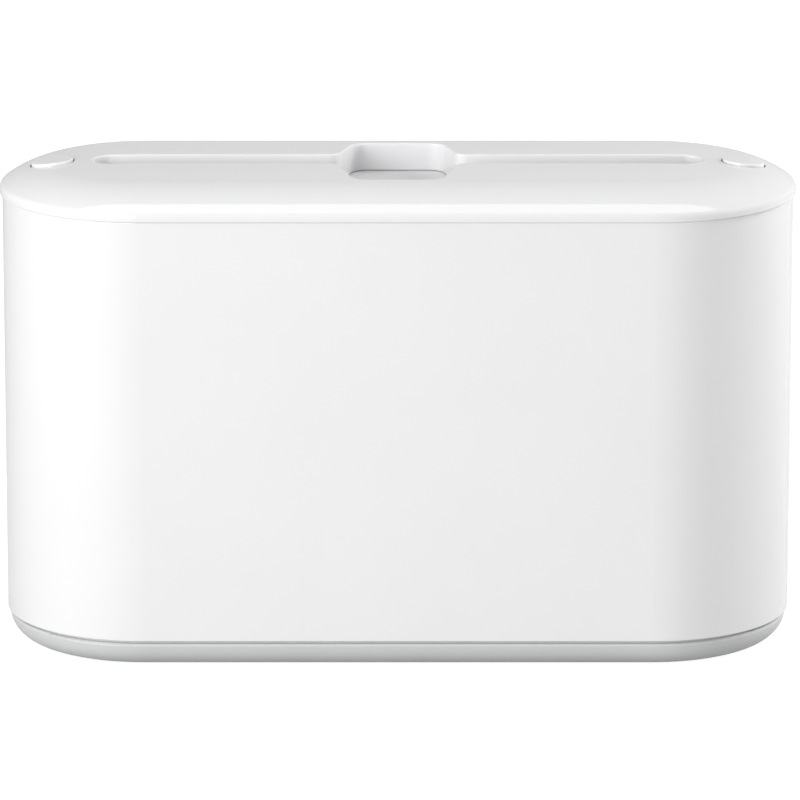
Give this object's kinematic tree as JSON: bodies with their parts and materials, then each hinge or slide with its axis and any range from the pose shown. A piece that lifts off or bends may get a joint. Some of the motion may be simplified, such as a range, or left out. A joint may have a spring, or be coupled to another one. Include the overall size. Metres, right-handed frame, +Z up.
{
  "type": "countertop folded paper towel dispenser",
  "caption": "Round-ended countertop dispenser for folded paper towels, with a sprung platform, a slotted crowned lid, push-button lid latches and a recessed base.",
  "frame": {"origin": "on the table, below the middle of the dispenser", "axes": "+X along the dispenser, +Y to its back, +Z up"},
  "size_m": [0.322, 0.116, 0.2],
  "materials": {
    "white_gloss_plastic": "glossy moulded plastic",
    "grey_base_plastic": "satin moulded plastic",
    "pale_inner_plastic": "matt moulded plastic",
    "natural_latch_plastic": "satin bearing plastic",
    "zinc_screw_steel": "bright zinc plated",
    "spring_steel": "drawn spring wire",
    "foot_rubber": "matt rubber"
  },
  "bodies": {
    "housing": {"body_shell": "white_gloss_plastic", "base_pan": "grey_base_plastic", "rubber_feet": "foot_rubber", "base_screws": "zinc_screw_steel", "towel_well": "pale_inner_plastic", "well_screws": "zinc_screw_steel", "left_lift_spring": "spring_steel", "right_lift_spring": "spring_steel"},
    "platform": {"towel_platform": "pale_inner_plastic"},
    "lid": {"lid_cover": "white_gloss_plastic", "left_latch_housing": "pale_inner_plastic", "right_latch_housing": "pale_inner_plastic", "latch_housing_screws": "zinc_screw_steel", "left_button_spring": "spring_steel", "right_button_spring": "spring_steel", "left_latch_spring": "spring_steel", "right_latch_spring": "spring_steel"},
    "left_button": {"left_button": "white_gloss_plastic"},
    "right_button": {"right_button": "white_gloss_plastic"},
    "left_latch": {"left_latch": "natural_latch_plastic"},
    "right_latch": {"right_latch": "natural_latch_plastic"}
  },
  "joints": [
    {"name": "lid_lift", "type": "slide", "parent": "housing", "child": "lid", "axis": [0, 0, 1], "range_m": [0, 0.09]},
    {"name": "platform_lift", "type": "slide", "parent": "housing", "child": "platform", "axis": [0, 0, 1], "range_m": [-0.13, 0], "stiffness_N_per_m": 50, "springref_m": 0.04, "deforming": ["left_lift_spring", "right_lift_spring"]},
    {"name": "left_button_press", "type": "slide", "parent": "lid", "child": "left_button", "axis": [0, 0, -1], "range_m": [0, 0.003], "stiffness_N_per_m": 900, "springref_m": -0.002, "deforming": ["left_button_spring"]},
    {"name": "left_latch_slide", "type": "slide", "parent": "lid", "child": "left_latch", "axis": [1, 0, 0], "range_m": [0, 0.003], "stiffness_N_per_m": 300, "springref_m": -0.002, "deforming": ["left_latch_spring"]},
    {"name": "right_button_press", "type": "slide", "parent": "lid", "child": "right_button", "axis": [0, 0, -1], "range_m": [0, 0.003], "stiffness_N_per_m": 900, "springref_m": -0.002, "deforming": ["right_button_spring"]},
    {"name": "right_latch_slide", "type": "slide", "parent": "lid", "child": "right_latch", "axis": [-1, 0, 0], "range_m": [0, 0.003], "stiffness_N_per_m": 300, "springref_m": -0.002, "deforming": ["right_latch_spring"]}
  ],
  "couplings": [
    {"joint": "left_latch_slide", "follows": "left_button_press", "ratio": 1},
    {"joint": "right_latch_slide", "follows": "right_button_press", "ratio": 1}
  ]
}
